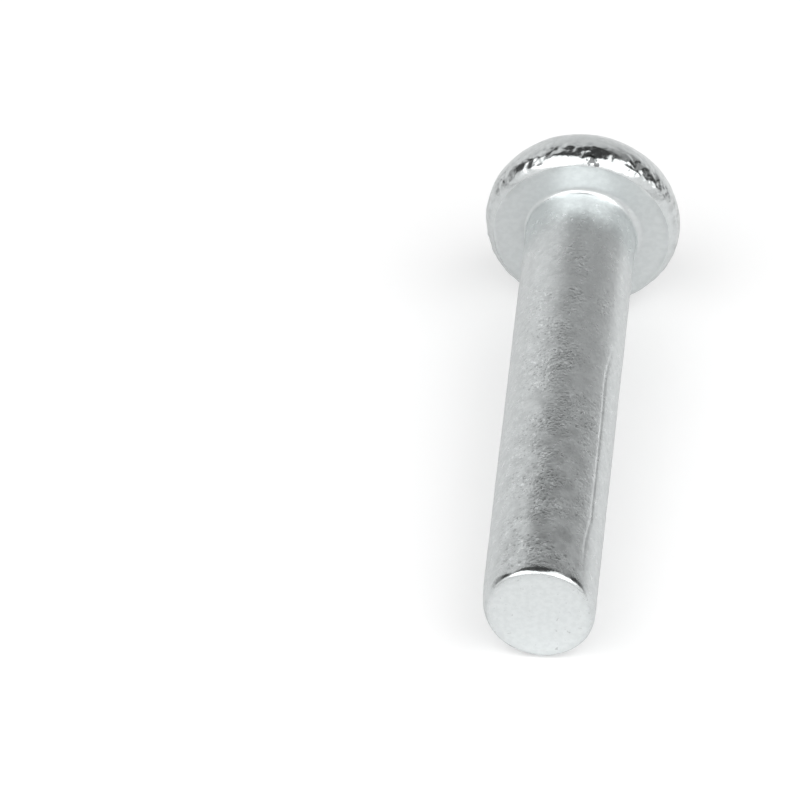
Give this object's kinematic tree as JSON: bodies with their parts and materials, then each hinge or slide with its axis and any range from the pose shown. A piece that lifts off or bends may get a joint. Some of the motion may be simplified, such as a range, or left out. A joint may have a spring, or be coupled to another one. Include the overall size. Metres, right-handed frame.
{
  "type": "solid rivet",
  "caption": "Solid steel rivet with a plain round shank, a flat tail and a domed button head on a rounded rim; it joins plates when its tail is hammered into a second head.",
  "frame": {"origin": "centre of the flat tail face, on the surface that the rivet stands on", "axes": "+Z along the shank's axis, up from the tail to the head; X and Y are any two directions across it, because the rivet is round"},
  "size_m": [0.0142, 0.014, 0.0489],
  "materials": {
    "zinc_plated_steel": "bright zinc plating, tumbled to a fine grain"
  },
  "bodies": {
    "root": {"rivet": "zinc_plated_steel"}
  },
  "joints": []
}
